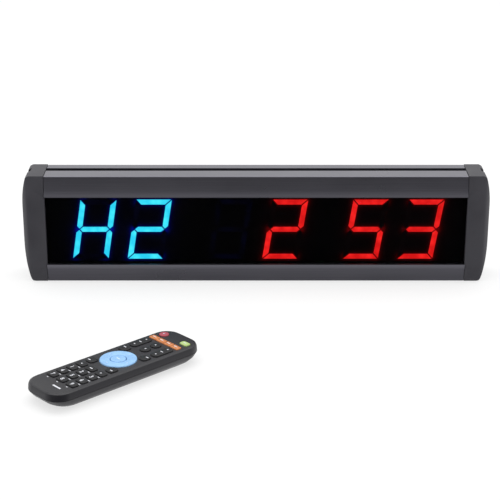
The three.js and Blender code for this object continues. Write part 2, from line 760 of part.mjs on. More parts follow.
// A sealed receiver with a domed lens, standing off the board on three legs.
function receiverSolid() {
  const { x, z, frontY, backY, halfWidth, halfHeight } = RECEIVER;
  let body = box(x - halfWidth, x + halfWidth, frontY, backY, z - halfHeight, z + halfHeight);
  const dome = new THREE.SphereGeometry(RECEIVER_LENS_RADIUS, 16, 10);
  dome.translate(x, frontY, z);
  body = body.add(solid(dome));
  const legZ = z - halfHeight + LEG.aboveFoot;
  for (const side of [-1, 0, 1]) {
    const legX = x + side * LEG.pitch;
    body = body.add(
      box(
        legX - LEG.half,
        legX + LEG.half,
        backY - LEG.bite,
        BOARD_FRONT_Y - FIT_GAP,
        legZ - LEG.half,
        legZ + LEG.half,
      ),
    );
  }
  return body;
}

// ---------------------------------------------------------------- handset shells
// Points round the handset's plan outline, drawn in by an inset that is larger at the ends.
function planPoints(inset, endInset) {
  const length = 2 * (HANDSET_HALF_LENGTH - endInset);
  const width = 2 * (HANDSET_HALF_WIDTH - inset);
  const radius = HANDSET_CORNER - inset * 0.8;
  return roundedRectangle(length, width, radius).getPoints(PLAN_SEGMENTS).slice(0, -1);
}

// A closed solid through plan outlines at rising heights; each ring is {z, inset, endInset}.
function loft(rings) {
  const outlines = rings.map(({ inset, endInset = inset }) => planPoints(inset, endInset));
  const count = outlines[0].length;
  const positions = outlines.flatMap((outline, ring) =>
    outline.flatMap((point) => [point.x, point.y, rings[ring].z]),
  );
  const index = [];
  for (let ring = 0; ring + 1 < rings.length; ring += 1) {
    for (let i = 0; i < count; i += 1) {
      const a = ring * count + i;
      const b = ring * count + ((i + 1) % count);
      index.push(a, b, b + count, a, b + count, a + count);
    }
  }
  const last = (rings.length - 1) * count;
  for (const [a, b, c] of THREE.ShapeUtils.triangulateShape(outlines[0], [])) {
    index.push(a, c, b);
    index.push(last + a, last + b, last + c);
  }
  const geometry = new THREE.BufferGeometry();
  geometry.setAttribute("position", new THREE.Float32BufferAttribute(positions, 3));
  geometry.setIndex(index);
  return solid(geometry);
}

// The space that the battery cover fills, grown by the given play.
function coverSpace(play) {
  const { halfWidth, frontX, belowSplit } = BATTERY_COVER;
  return box(
    -HANDSET_HALF_LENGTH - FAR_PAST,
    frontX + play,
    -halfWidth - play,
    halfWidth + play,
    -OVERSHOOT,
    SPLIT_Z - belowSplit + play,
  );
}

function rearShell() {
  return loft(REAR_OUTSIDE).subtract(loft(REAR_INSIDE)).subtract(coverSpace(BATTERY_COVER.play));
}

function batteryCover() {
  const { lift, halfWidth, frontX } = BATTERY_COVER;
  const underside = box(-HANDSET_HALF_LENGTH, frontX, -halfWidth, halfWidth, -OVERSHOOT, lift);
  return loft(REAR_OUTSIDE).intersect(coverSpace(0)).subtract(loft(REAR_INSIDE)).subtract(underside);
}

function frontSkin() {
  return loft(FRONT_OUTSIDE).subtract(loft(FRONT_INSIDE));
}

function irWindowSpace(play) {
  const { halfWidth, startX, top } = IR_WINDOW;
  const pastX = HANDSET_HALF_LENGTH + FAR_PAST;
  return box(startX, pastX, -halfWidth - play, halfWidth + play, 0, top + play);
}

// ---------------------------------------------------------------- handset keys
// Each key has an outline in the handset's plan about its own middle, and a flange under the deck.
function keyOf(name, x, y, outline, material, options = {}) {
  return { name, x, y, outline, material, ...options };
}

function rectangleKey(length, width, radius = KEY_ROUND) {
  return (extra) => roundedRectangle(length + 2 * extra, width + 2 * extra, radius + extra);
}

function roundKey(radius) {
  return (extra) => {
    const points = [];
    for (let i = 0; i < ROUND_SIDES; i += 1) {
      const angle = (i / ROUND_SIDES) * 2 * Math.PI;
      points.push([(radius + extra) * Math.cos(angle), (radius + extra) * Math.sin(angle)]);
    }
    return polygon(points);
  };
}

function keyList() {
  const green = rectangleKey(GREEN_KEY.length, GREEN_KEY.width);
  const keys = [
    keyOf("power_key", POWER_KEY.x, POWER_KEY.y, roundKey(POWER_KEY.radius), KEY_RED),
    keyOf("green_key", GREEN_KEY.x, GREEN_KEY.y, green, KEY_GREEN),
    keyOf("page_up_key", PAGE_KEY.upX, 0, roundKey(PAGE_KEY.radius), KEY_BLACK),
    keyOf("page_down_key", PAGE_KEY.downX, 0, roundKey(PAGE_KEY.radius), KEY_BLACK),
  ];
  const orange = rectangleKey(ORANGE_KEY.length, ORANGE_KEY.width, ORANGE_KEY.round);
  for (let i = 0; i < ORANGE_KEY.count; i += 1) {
    const y = ((ORANGE_KEY.count - 1) / 2 - i) * ORANGE_KEY.pitch;
    const flange = [ORANGE_KEY.length + 2 * KEY_FLANGE.reach, ORANGE_FLANGE_WIDTH];
    keys.push(keyOf(`orange_key_${i + 1}`, ORANGE_KEY.x, y, orange, KEY_ORANGE, { flange }));
  }
  const rocker = rectangleKey(ROCKER_KEY.length, ROCKER_KEY.width, ROCKER_KEY.round);
  const rockerFlange = [ROCKER_KEY.flangeLength, ROCKER_KEY.width + 2 * KEY_FLANGE.reach];
  for (const [name, side] of [["volume_rocker", 1], ["channel_rocker", -1]]) {
    const y = side * ROCKER_KEY.y;
    keys.push(keyOf(name, ROCKER_KEY.x, y, rocker, KEY_BLACK, { flange: rockerFlange }));
  }
  const corner = rectangleKey(CORNER_KEY.side, CORNER_KEY.side, CORNER_KEY.round);
  for (const [end, alongX] of [["upper", 1], ["lower", -1]]) {
    for (const [side, acrossY] of [["left", 1], ["right", -1]]) {
      const x = RING.x + alongX * CORNER_KEY.alongX;
      const y = acrossY * CORNER_KEY.acrossY;
      keys.push(keyOf(`${end}_${side}_key`, x, y, corner, KEY_BLACK, { besideRing: true }));
    }
  }
  const number = rectangleKey(NUMBER_KEY.length, NUMBER_KEY.width);
  for (let row = 0; row < NUMBER_ROWS; row += 1) {
    for (let column = 0; column < 3; column += 1) {
      const x = NUMBER_FIRST_X - row * NUMBER_ROW_PITCH;
      const y = (1 - column) * COLUMN_PITCH;
      const label = (row - 1) * 3 + column + 1;
      const name = row === 0 ? `function_key_${column + 1}` : `number_key_${label}`;
      keys.push(keyOf(name, x, y, number, KEY_BLACK));
    }
  }
  return keys;
}

// Cuts a key or its hole back from the round of the direction ring.
function clearOfRing(body, clearance) {
  const keepOut = disc(RING.outer + clearance, 0, DECK_TOP * 2, RING_SIDES);
  return body.subtract(stand(keepOut, AXIS_Z, RING.x, 0, 0));
}

function keySolid(key) {
  const { x, y, outline, flange, besideRing } = key;
  const flangeTop = KEY_FOOT_Z + KEY_FLANGE.thick;
  const flangeShape = flange
    ? roundedRectangle(flange[0], flange[1], KEY_ROUND)
    : outline(KEY_FLANGE.reach);
  const body = prismAlongZ(outline(0), KEY_FOOT_Z, KEY_TOP)
    .add(prismAlongZ(flangeShape, KEY_FOOT_Z, flangeTop))
    .translate([x, y, 0]);
  return besideRing ? clearOfRing(body, CORNER_KEY.ringClearance) : body;
}

function keyHole({ x, y, outline, besideRing }) {
  const holeTop = DECK_TOP + OVERSHOOT;
  const hole = prismAlongZ(outline(KEY_PLAY), SPLIT_Z, holeTop).translate([x, y, 0]);
  return besideRing ? clearOfRing(hole, CORNER_KEY.ringClearance - KEY_PLAY) : hole;
}

function orangeSlot() {
  const width = ORANGE_KEY.pitch * ORANGE_KEY.count + KEY_PLAY;
  const shape = roundedRectangle(ORANGE_KEY.length + 2 * KEY_PLAY, width, ORANGE_SLOT_ROUND);
  return prismAlongZ(shape, SPLIT_Z, DECK_TOP + OVERSHOOT).translate([ORANGE_KEY.x, 0, 0]);
}

function ringSolid() {
  const flangeTop = KEY_FOOT_Z + KEY_FLANGE.thick;
  const { inner, outer, outerFall, outerBevel, innerBevel } = RING;
  const ring = turned(
    [
      [inner, KEY_FOOT_Z],
      [outer + KEY_FLANGE.reach, KEY_FOOT_Z],
      [outer + KEY_FLANGE.reach, flangeTop],
      [outer, flangeTop],
      [outer, KEY_TOP - outerFall],
      [outer - outerBevel, KEY_TOP],
      [inner + innerBevel, KEY_TOP],
      [inner, KEY_TOP - innerBevel],
      [inner, KEY_FOOT_Z],
    ],
    RING_SIDES,
  );
  return stand(ring, AXIS_Z, RING.x, 0, 0);
}

function okKey() {
  return stand(disc(OK_RADIUS, KEY_FOOT_Z, KEY_TOP), AXIS_Z, RING.x, 0, 0);
}

function frontShell(keys) {
  let body = frontSkin().subtract(irWindowSpace(FIT_GAP));
  for (const key of keys.filter(({ material }) => material !== KEY_ORANGE)) {
    body = body.subtract(keyHole(key));
  }
  const ringHole = disc(RING.outer + KEY_PLAY, 0, DECK_TOP, RING_SIDES);
  return body.subtract(orangeSlot()).subtract(stand(ringHole, AXIS_Z, RING.x, 0, SPLIT_Z));
}

// ---------------------------------------------------------------- handset insides
function keypadBoard() {
  const { bottom, thick, inset } = KEYPAD_BOARD;
  return loft([
    { z: bottom, inset },
    { z: bottom + thick, inset },
  ]);
}

function battery(side) {
  const { radius, length, apart, middleX, z } = BATTERY;
  const shoulder = length - BATTERY_NUB.height;
  const body = turned([
    [0, 0],
    [radius, 0],
    [radius, shoulder],
    [BATTERY_NUB.radius, shoulder],
    [BATTERY_NUB.radius, length],
    [0, length],
  ]);
  const direction = AXIS_X.clone().multiplyScalar(side);
  return stand(body, direction, middleX - (side * length) / 2, side * apart, z);
}

function emitter() {
  const { radius, startX, length, z } = EMITTER;
  const domeSteps = 3;
  const profile = [[0, 0], [radius, 0]];
  for (let i = 0; i < domeSteps; i += 1) {
    const angle = (i / domeSteps) * (Math.PI / 2);
    profile.push([radius * Math.cos(angle), length - radius + radius * Math.sin(angle)]);
  }
  profile.push([0, length]);
  return stand(turned(profile), AXIS_X, startX, 0, z);
}

// ---------------------------------------------------------------- assembly
function buildDisplay() {
  const display = new THREE.Group();
  const toLeft = (body) => mirrored(body, [1, 0, 0]);
  addMesh(display, "top_rail", railSolid(), ANODISED);
  addMesh(display, "bottom_rail", upsideDown(railSolid()), ANODISED);
  addMesh(display, "left_end_cap", toLeft(endCap()), CAP_PLASTIC);
  addMesh(display, "right_end_cap", endCap(), CAP_PLASTIC);
  addMesh(display, "cap_screw_top_left", toLeft(capScrew()), STEEL_BLACK);
  addMesh(display, "cap_screw_top_right", capScrew(), STEEL_BLACK);
  addMesh(display, "cap_screw_bottom_left", toLeft(upsideDown(capScrew())), STEEL_BLACK);
  addMesh(display, "cap_screw_bottom_right", upsideDown(capScrew()), STEEL_BLACK);
  addMesh(display, "front_window", windowSolid(), SMOKED);
  addMesh(display, "back_cover", backCover(), COVER_BLACK);
  addMesh(display, "display_board", boardSolid(), BOARD_GREEN);
  ["left", "middle", "right"].forEach((place, i) => {
    const middleX = MIDDLE_MODULE_X + (i - 1) * MODULE_PITCH;
    addMesh(display, `digit_module_${place}`, moduleSolid(middleX), MODULE_BLACK);
    [-0.5, 0.5].forEach((side, j) => {
      const number = 2 * i + j + 1;
      const lens = lensSolid(middleX + side * DIGIT_PITCH);
      addMesh(display, `digit_lens_${number}`, lens, number <= 3 ? BLUE_LENS : RED_LENS);
    });
  });
  addMesh(display, "remote_receiver", receiverSolid(), PART_BLACK);
  addMesh(display, "buzzer", buzzerSolid(), PART_BLACK);
  addMesh(display, "power_socket", powerSocket(), PART_BLACK);
  return display;
}

function buildHandset() {
  const handset = new THREE.Group();
  const keys = keyList();
  addMesh(handset, "handset_rear_shell", rearShell(), HANDSET_BLACK);
  addMesh(handset, "handset_front_shell", frontShell(keys), HANDSET_BLACK);
  addMesh(handset, "battery_cover", batteryCover(), HANDSET_BLACK);
  addMesh(handset, "handset_ir_window", frontSkin().intersect(irWindowSpace(0)), GLOSS_BLACK);
  addMesh(handset, "keypad_board", keypadBoard(), BOARD_GREEN);
  addMesh(handset, "ir_emitter", emitter(), LED_CLEAR);
  addMesh(handset, "battery_left", battery(1), CELL_WRAP);
  addMesh(handset, "battery_right", battery(-1), CELL_WRAP);
  addMesh(handset, "direction_ring", ringSolid(), KEY_BLUE);
  addMesh(handset, "ok_key", okKey(), KEY_BLUE);
  for (const key of keys) {
    addMesh(handset, key.name, keySolid(key), key.material);
  }
  handset.position.set(HANDSET.x, HANDSET.y, 0);
  handset.rotation.z = HANDSET.turn;
  return handset;
}

const timer = new THREE.Group();
timer.add(buildDisplay(), buildHandset());

export default timer;
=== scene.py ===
import math

import bmesh
import bpy
import numpy as np
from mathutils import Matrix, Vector
from mathutils.geometry import delaunay_2d_cdt


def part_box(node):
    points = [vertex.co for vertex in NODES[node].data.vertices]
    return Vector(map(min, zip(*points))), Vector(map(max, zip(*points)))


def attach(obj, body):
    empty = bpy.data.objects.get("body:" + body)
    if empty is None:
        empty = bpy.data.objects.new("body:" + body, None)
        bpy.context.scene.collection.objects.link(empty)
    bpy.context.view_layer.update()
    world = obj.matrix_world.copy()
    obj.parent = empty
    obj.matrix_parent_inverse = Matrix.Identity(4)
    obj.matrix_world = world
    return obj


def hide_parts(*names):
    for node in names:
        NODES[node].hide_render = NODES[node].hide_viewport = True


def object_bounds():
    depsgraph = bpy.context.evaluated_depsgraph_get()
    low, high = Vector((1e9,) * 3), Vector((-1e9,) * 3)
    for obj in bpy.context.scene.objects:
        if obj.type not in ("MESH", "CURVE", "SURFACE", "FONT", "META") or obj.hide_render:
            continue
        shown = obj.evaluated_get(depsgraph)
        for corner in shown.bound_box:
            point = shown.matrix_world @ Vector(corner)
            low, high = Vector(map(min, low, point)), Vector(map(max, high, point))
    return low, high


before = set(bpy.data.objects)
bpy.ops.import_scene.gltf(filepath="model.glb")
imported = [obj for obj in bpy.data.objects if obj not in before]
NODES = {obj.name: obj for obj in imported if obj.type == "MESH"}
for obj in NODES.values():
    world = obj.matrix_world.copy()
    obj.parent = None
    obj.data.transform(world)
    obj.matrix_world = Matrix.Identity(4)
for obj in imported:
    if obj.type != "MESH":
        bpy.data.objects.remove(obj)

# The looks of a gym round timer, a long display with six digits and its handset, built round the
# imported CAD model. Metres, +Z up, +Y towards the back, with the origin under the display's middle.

CAD_LOW, CAD_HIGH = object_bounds()
MM = 0.001

# ---------------------------------------------------------------- sizes
DIGIT_HEIGHT = 57 * MM
DIGIT_WIDTH = 32.5 * MM
STROKE = 5 * MM
SLANT = math.tan(math.radians(9))
LIT_BARS = {1: "bcefg", 2: "abdeg", 3: "", 4: "abdeg", 5: "acdfg", 6: "abcdg"}
LAST_BLUE_DIGIT = 3

# The mask over the digits: the pitch of its grid, its thickness, its gap to the modules behind it,
# how far it stops short of the case, and the spacing of the points along its holes.
FILM_PITCH = 1.3 * MM
FILM_THICK = 0.12 * MM
FILM_GAP = 0.06 * MM
FILM_EDGE = 0.6 * MM
OUTLINE_STEP = 1.5 * MM

# The lit bars, and the glow painted on the mask round them, which stands for the light that they
# throw on it and falls off over a near and a far distance, with a share of its brightness in each.
BAR_GLOW = 2.4
GLOW_NEAR = 1.1 * MM
GLOW_FAR = 4.5 * MM
NEAR_SHARE = 0.3
FAR_SHARE = 0.02

# How far the edges of the CAD nodes are rounded.
RAIL_EDGE = 0.25 * MM
CAP_EDGE = 0.3 * MM
SCREW_EDGE = 0.12 * MM
WINDOW_EDGE = 0.2 * MM
COVER_EDGE = 0.25 * MM
BOARD_EDGE = 0.1 * MM
COMPONENT_EDGE = 0.15 * MM

# A soft key's rounded rim is as wide as its edge, and lies its crown below the CAD key's top. Its
# flat top starts CROWN_INSET edges in from its sides, and lies CROWN_SHARE of the crown below.
KEY_EDGE = 0.7 * MM
KEY_CROWN = 0.14 * MM
KEY_EDGE_STEPS = 4
CROWN_INSET = 1.8
CROWN_SHARE = 1 / 3
OK_EDGE = 0.6 * MM
OK_CROWN = 0.1 * MM
BUTTON_SIDES = 48

# The ring's dish is a list of places on its face, as the distance out from its bore and the drop
# below its top.
RING_EDGE = 0.9 * MM
RING_SIDES = 96
RING_BORE_GAP = 0.5 * MM
RING_SIDE_GAP = 0.6 * MM
RING_RIM_DROP = 0.1 * MM
RING_BAND = 3 * MM
RING_DISH = ((2.4 * MM, 0.15 * MM), (0.35 * MM, 0.3 * MM), (0, 0.7 * MM))

# Printed marks: a bar is its width and height, and an arrow is its width. INK is the place of the
# ink in a key's list of materials.
PRINT_THICK = 0.05 * MM
PRINT_SUNK = 0.12 * MM
NUMERAL_SIZE = 4.9 * MM
NUMERAL_WEIGHT = 0.09 * MM
ARROW_RISE = 0.8
RING_ARROW = 2 * MM
RING_ARROW_SHIFT = 1 * MM
RING_PRINT_DROP = 0.08 * MM
INK = 1
OK_BAR = (4.2 * MM, 1.1 * MM)
OK_PRINT_DROP = 0.03 * MM
FUNCTION_ARROW = 1.9 * MM
FUNCTION_BAR = (3.2 * MM, 0.9 * MM)
ROCKER_ARROW = 1.8 * MM
ROCKER_REACH = 6.4 * MM
ROCKER_BAR = (3 * MM, 0.8 * MM)
POWER_BAR = (0.7 * MM, 2.2 * MM)
GREEN_BAR = (3 * MM, 0.8 * MM)
PAGE_ARROW = 2 * MM
ORANGE_BAR = (4 * MM, 0.7 * MM)
CORNER_BAR = (2.8 * MM, 0.9 * MM)
CORNER_SHIFT = 1.2 * MM
DECK_BAR = (2.4 * MM, 0.6 * MM)
DECK_BAR_PLACE = (2.8 * MM, 4.55 * MM)
FOOT_BAR = (1.6 * MM, 0.7 * MM)
FOOT_BAR_PLACE = (0, -5 * MM)
END_BAR = (9.5 * MM, 1.5 * MM)
END_BAR_PLACE = (7 * MM, -10.5 * MM)
NUMBER_KEYS = range(1, 10)
LAST_NUMBER_ROW = range(7, 10)
END_BAR_KEY = 8
ORANGE_KEYS = range(1, 5)

WELD = 0.002 * MM
FLAT_BAND = 10 * WELD
MESH_EXACTNESS = WELD / 10
FLAT_WITHIN = math.radians(0.5)
SMOOTH_BELOW = math.radians(32)
SHARP_ABOVE = math.radians(38)
EDGE_STEPS = 2
TIGHTEST_MITRE = 0.3

# ---------------------------------------------------------------- studio
CAMERA_PLACE = Vector((-5.4, -1281, 507)) * MM
CAMERA_PITCH = math.radians(69.36)
CAMERA_LENS = 107.3
CAMERA_NEAR = 0.05
CAMERA_FAR = 20
FLOOR_HALF = 4.0
FLOOR_GLOW = 0.66
FLOOR_CLOUD = 0.4
WORLD_LIGHT = 1.0
LIGHT_PLACE = Vector((0, 0.1, 1.4))
LIGHT_SIZE = (1.8, 1.2)
LIGHT_POWER = 9

# The dark card that reflections see. For each axis: two values of the ray direction's part along
# it, and how dark the card is at the first and at the second.
CARD_AHEAD = (-0.1, -0.7, 0.0, 1.0)
CARD_HEIGHT = (0.2, 0.75, 1.0, 0.3)
CARD_SIDE = (0.03, 0.3, 0.97, 0.8)


# ---------------------------------------------------------------- colours
def rgb(red, green, blue):
    """A colour given as sRGB, 0 to 255, in the linear values that shader sockets take."""
    shares = [value / 255 for value in (red, green, blue)]
    linear = [s / 12.92 if s <= 0.04045 else ((s + 0.055) / 1.055) ** 2.4 for s in shares]
    return (*linear, 1)


WHITE = (1, 1, 1, 1)
BLACK = (0, 0, 0, 1)
RAIL_DARK = rgb(110, 109, 118)
RAIL_LIGHT = rgb(120, 119, 127)
CAP_DARK = rgb(48, 47, 53)
CAP_LIGHT = rgb(56, 55, 61)
BLUE_LIGHT = rgb(70, 236, 252)
BLUE_DIM = rgb(40, 205, 240)
# painted glow: the light of the lit blue bars, painted on the mask round them
BLUE_PAINTED_GLOW = rgb(0, 30, 200)
# tint of the unlit blue bars, which they also glow with faintly as painted light
BLUE_UNLIT_TINT_AND_GLOW = rgb(2, 3, 30)
RED_LIGHT = rgb(245, 34, 32)
RED_DIM = rgb(205, 18, 18)
# painted glow: the light of the lit red bars, painted on the mask round them
RED_PAINTED_GLOW = rgb(150, 4, 8)
# tint of the unlit red bars, which they also glow with faintly as painted light
RED_UNLIT_TINT_AND_GLOW = rgb(14, 2, 4)
FLOOR_DARK = rgb(150, 150, 150)
FLOOR_LIGHT = rgb(154, 154, 154)
LABEL_WHITE = rgb(225, 226, 232)
LABEL_GREY = rgb(196, 198, 206)


# ---------------------------------------------------------------- node materials
class Paint:
    """A material with one Principled shader, and the procedural patterns that feed it."""

    def __init__(self, name, metallic=0.0, specular=0.5):
        self.data = bpy.data.materials.new(name)
        self.data.use_nodes = True
        self.tree = self.data.node_tree
        self.shader = self.tree.nodes["Principled BSDF"]
        self.shader.inputs["Metallic"].default_value = metallic
        self.shader.inputs["Specular IOR Level"].default_value = specular
        self.points = self.tree.nodes.new("ShaderNodeTexCoord").outputs["Object"]

    def add(self, kind, **settings):
        node = self.tree.nodes.new(kind)
        for name, value in settings.items():
            setattr(node, name, value)
        return node

    def feed(self, socket, value):
        """Links an output to a socket, or sets the socket to a plain value."""
        if isinstance(value, bpy.types.NodeSocket):
            self.tree.links.new(value, socket)
        else:
            socket.default_value = value

    def grain(self, size, detail=3):
        """Noise whose grains have the given size along X, Y and Z, as a value round 0.5."""
        place = self.add("ShaderNodeMapping")
        self.feed(place.inputs["Vector"], self.points)
        place.inputs["Scale"].default_value = [1 / side for side in size]
        noise = self.add("ShaderNodeTexNoise")
        self.feed(noise.inputs["Vector"], place.outputs["Vector"])
        noise.inputs["Scale"].default_value = 1
        noise.inputs["Detail"].default_value = detail
        return noise.outputs[0]

    def cells(self, size):
        """Distance from the middle of scattered cells of the given size, 0 at a cell's middle."""
        voronoi = self.add("ShaderNodeTexVoronoi", feature="F1")
        self.feed(voronoi.inputs["Vector"], self.points)
        voronoi.inputs["Scale"].default_value = 1 / size
        return voronoi.outputs["Distance"]

    def ranged(self, value, low, high, start=0.3, end=0.7):
        """A value from start to end, as a value from low to high."""
        node = self.add("ShaderNodeMapRange")
        self.feed(node.inputs["Value"], value)
        for name, bound in zip(("From Min", "From Max", "To Min", "To Max"), (start, end, low, high)):
            node.inputs[name].default_value = bound
        return node.outputs["Result"]

    def mixed(self, share, first, second):
        """The first colour where the share is 0, and the second where it is 1."""
        node = self.add("ShaderNodeMix", data_type="RGBA")
        self.feed(node.inputs["Factor"], share)
        for socket, colour in zip([s for s in node.inputs if s.type == "RGBA"], (first, second)):
            self.feed(socket, colour)
        return next(s for s in node.outputs if s.type == "RGBA")

    def colour(self, value):
        self.feed(self.shader.inputs["Base Color"], value)

    def roughness(self, value):
        self.feed(self.shader.inputs["Roughness"], value)

    def relief(self, height, depth, below=None):
        """Raises the surface by a pattern of the given depth, over another relief if one is given."""
        bump = self.add("ShaderNodeBump")
        bump.inputs["Distance"].default_value = depth
        self.feed(bump.inputs["Height"], height)
        if below is not None:
            self.feed(bump.inputs["Normal"], below)
        self.feed(self.shader.inputs["Normal"], bump.outputs["Normal"])
        return bump.outputs["Normal"]

    def glow(self, colour, strength):
        self.feed(self.shader.inputs["Emission Color"], colour)
        self.shader.inputs["Emission Strength"].default_value = strength


def anodised_metal():
    """Dark-grey anodised aluminium, with the fine draw lines of an extrusion along X."""
    paint = Paint("anodised_metal", metallic=0.95)
    lines = paint.grain((90 * MM, 0.35 * MM, 0.35 * MM), detail=5)
    clouds = paint.grain((60 * MM, 30 * MM, 30 * MM))
    speckle = paint.grain((0.25 * MM, 0.25 * MM, 0.25 * MM))
    paint.colour(paint.mixed(paint.ranged(lines, 0, 1), RAIL_DARK, RAIL_LIGHT))
    paint.roughness(paint.ranged(clouds, 0.26, 0.34))
    below = paint.relief(speckle, 0.006 * MM)
    paint.relief(lines, 0.02 * MM, below)
    return paint.data


def moulded_plastic(name, dark, light, grain_size, depth, rough, metallic=0.0):
    """Moulded plastic with a spark-eroded grain, slightly cloudy in colour and gloss."""
    paint = Paint(name, metallic)
    clouds = paint.grain((25 * MM, 25 * MM, 25 * MM))
    grains = paint.grain((grain_size, grain_size, grain_size), detail=4)
    tone = paint.mixed(paint.ranged(clouds, 0, 1), dark, light)
    paint.colour(paint.mixed(paint.ranged(grains, 0, 0.35), tone, dark))
    paint.roughness(paint.ranged(clouds, rough - 0.05, rough + 0.06))
    paint.relief(grains, depth)
    return paint.data


def smoked_acrylic():
    """A smoked, polished sheet: almost black by reflection, and clear enough for the lit bars."""
    paint = Paint("smoked_acrylic", specular=0.08)
    smears = paint.grain((40 * MM, 40 * MM, 18 * MM), detail=5)
    paint.colour(paint.mixed(paint.ranged(smears, 0, 1), rgb(0, 0, 1), rgb(2, 2, 4)))
    paint.roughness(paint.ranged(smears, 0.05, 0.12))
    paint.shader.inputs["Alpha"].default_value = 0.38
    return paint.data


def lit_bar(name, bright, dim):
    """A diffused LED bar: a little brighter over each chip behind it."""
    paint = Paint(name, specular=0.2)
    chips = paint.cells(7 * MM)
    share = paint.ranged(chips, 0, 1, start=0.1, end=0.75)
    shade = paint.mixed(share, bright, dim)
    paint.colour(shade)
    paint.glow(shade, BAR_GLOW)
    paint.roughness(paint.ranged(paint.grain((1 * MM, 1 * MM, 1 * MM)), 0.4, 0.6))
    return paint.data


def unlit_bar(name, tint_and_painted_glow):
    """A dark bar of the tinted diffuser, with a faint painted glow in its tint for its neighbours'
    light.
    """
    paint = Paint(name, specular=0.2)
    cloud = paint.grain((9 * MM, 9 * MM, 9 * MM))
    shade = paint.mixed(paint.ranged(cloud, 0, 1), tint_and_painted_glow, BLACK)
    paint.colour(shade)
    # painted glow: the unlit bar emits its own tint, standing for light from the lit bars beside it
    paint.glow(shade, 0.9)
    paint.roughness(paint.ranged(cloud, 0.5, 0.65))
    return paint.data


def display_film():
    """The black mask over the digits, with a painted glow round the lit bars for the light they spill.
    """
    paint = Paint("display_film", specular=0.15)
    speck = paint.grain((0.8 * MM, 0.8 * MM, 0.8 * MM))
    paint.colour(paint.mixed(paint.ranged(speck, 0, 1), rgb(0, 0, 1), rgb(4, 4, 6)))
    paint.roughness(paint.ranged(speck, 0.5, 0.7))
    # The mask's emission is painted light: the glow round the lit bars, read from its points.
    painted_halo = paint.add("ShaderNodeAttribute", attribute_name="painted_halo")
    paint.glow(painted_halo.outputs["Color"], 1.0)
    return paint.data


def blackened_steel():
    """Black zinc over steel, with turning marks round the X axis."""
    paint = Paint("blackened_steel", metallic=0.9)
    marks = paint.grain((0.2 * MM, 2 * MM, 2 * MM), detail=5)
    paint.colour(paint.mixed(paint.ranged(marks, 0, 1), rgb(38, 38, 40), rgb(70, 70, 74)))
    paint.roughness(paint.ranged(marks, 0.28, 0.45))
    paint.relief(marks, 0.02 * MM)
    return paint.data


def circuit_board():
    """Green solder mask over copper pours, with a fine weave in the laminate."""
    paint = Paint("circuit_board")
    pours = paint.cells(9 * MM)
    weave = paint.grain((0.6 * MM, 0.6 * MM, 0.6 * MM))
    paint.colour(paint.mixed(paint.ranged(pours, 0, 1), rgb(16, 70, 38), rgb(34, 104, 58)))
    paint.roughness(paint.ranged(weave, 0.3, 0.45))
    paint.relief(weave, 0.03 * MM)
    return paint.data


def silicone(name, dark, light):
    """Moulded silicone rubber: a soft sheen and a very fine matt grain."""
    paint = Paint(name, specular=0.35)
    clouds = paint.grain((5 * MM, 5 * MM, 5 * MM))
    grains = paint.grain((0.18 * MM, 0.18 * MM, 0.18 * MM))
    paint.colour(paint.mixed(paint.ranged(clouds, 0, 1), dark, light))
    paint.roughness(paint.ranged(clouds, 0.44, 0.56))
    paint.relief(grains, 0.012 * MM)
    return paint.data


def printed_ink(name, colour, worn):
    """Screen-printed ink, a little thin and worn in places."""
    paint = Paint(name, specular=0.3)
    wear = paint.grain((1.2 * MM, 1.2 * MM, 1.2 * MM), detail=5)
    paint.colour(paint.mixed(paint.ranged(wear, 0, 1, start=0.52), colour, worn))
    paint.roughness(paint.ranged(wear, 0.45, 0.65))
    return paint.data


def cell_wrap():
    """The printed sleeve of an AAA cell, with darker bands round the cell."""
    paint = Paint("cell_wrap", metallic=0.3)
    bands = paint.grain((6 * MM, 6 * MM, 40 * MM))
    paint.colour(paint.mixed(paint.ranged(bands, 0, 1), rgb(38, 92, 58), rgb(88, 140, 96)))
    paint.roughness(paint.ranged(bands, 0.3, 0.42))
    return paint.data


def clear_epoxy():
    """The bluish clear epoxy of an infrared emitter."""
    paint = Paint("clear_epoxy")
    flow = paint.grain((2 * MM, 2 * MM, 2 * MM))
    paint.colour(paint.mixed(paint.ranged(flow, 0, 1), rgb(150, 160, 185), rgb(190, 198, 216)))
    paint.roughness(paint.ranged(flow, 0.08, 0.16))
    return paint.data


